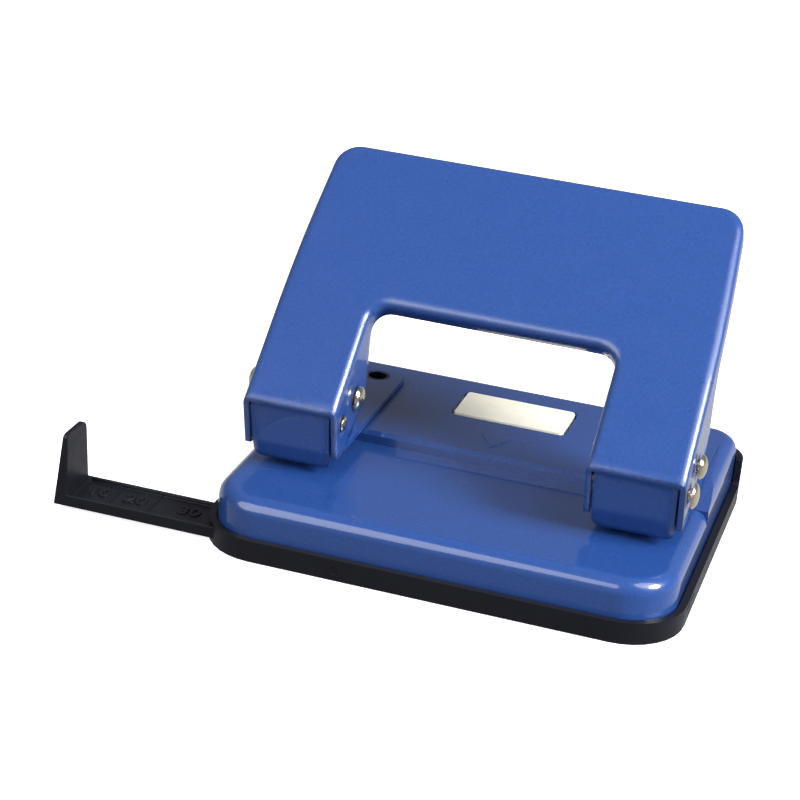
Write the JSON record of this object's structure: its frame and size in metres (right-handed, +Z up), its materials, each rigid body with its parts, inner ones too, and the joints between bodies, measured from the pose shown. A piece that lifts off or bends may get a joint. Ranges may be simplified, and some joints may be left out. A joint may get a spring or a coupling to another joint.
{
  "type": "two-hole punch",
  "caption": "Desk two-hole paper punch with a pressed sheet lever over a stepped base, sprung punches, a chip tray and a sliding paper guide.",
  "frame": {"origin": "on the chip tray's underside, midway between its sides and 45 mm behind its front edge", "axes": "+X to the right along the line of the two holes, +Y away from the user, +Z up"},
  "size_m": [0.1468, 0.09, 0.0777],
  "materials": {
    "blue_paint": "satin enamel on pressed steel",
    "black_plastic": "fine moulded grain",
    "cream_plastic": "smooth moulded",
    "bright_steel": "bright plated with a warm tint",
    "spring_steel": "drawn wire"
  },
  "bodies": {
    "base": {"base_tray": "black_plastic", "base_plate": "blue_paint", "badge_plate": "cream_plastic", "left_bracket": "blue_paint", "right_bracket": "blue_paint", "left_pivot_pin": "bright_steel", "right_pivot_pin": "bright_steel", "left_bracket_rivet_inner": "blue_paint", "left_bracket_rivet_outer": "blue_paint", "right_bracket_rivet_inner": "blue_paint", "right_bracket_rivet_outer": "blue_paint", "left_return_spring": "spring_steel", "right_return_spring": "spring_steel"},
    "lever": {"handle": "blue_paint", "left_drive_pin": "bright_steel", "right_drive_pin": "bright_steel"},
    "left_punch_group": {"left_punch": "bright_steel", "left_spring_washer": "spring_steel"},
    "right_punch_group": {"right_punch": "bright_steel", "right_spring_washer": "spring_steel"},
    "guide": {"paper_guide": "black_plastic"}
  },
  "joints": [
    {"name": "handle_hinge", "type": "hinge", "parent": "base", "child": "lever", "pos_m": [0, -0.0215, 0.0271], "axis": [-1, 0, 0], "range_deg": [0, 32], "stiffness_Nm_per_rad": 0.18, "springref_deg": -18.91},
    {"name": "left_punch_slide", "type": "slide", "parent": "base", "child": "left_punch_group", "axis": [0, 0, -1], "range_m": [0, 0.00496], "deforming": ["left_return_spring"]},
    {"name": "right_punch_slide", "type": "slide", "parent": "base", "child": "right_punch_group", "axis": [0, 0, -1], "range_m": [0, 0.00496], "deforming": ["right_return_spring"]},
    {"name": "guide_slide", "type": "slide", "parent": "base", "child": "guide", "axis": [1, 0, 0], "range_m": [-0.02, 0.03]}
  ],
  "couplings": [
    {"joint": "left_punch_slide", "follows": "handle_hinge", "m_per_rad": 0.0088675},
    {"joint": "right_punch_slide", "follows": "handle_hinge", "m_per_rad": 0.0088675}
  ]
}
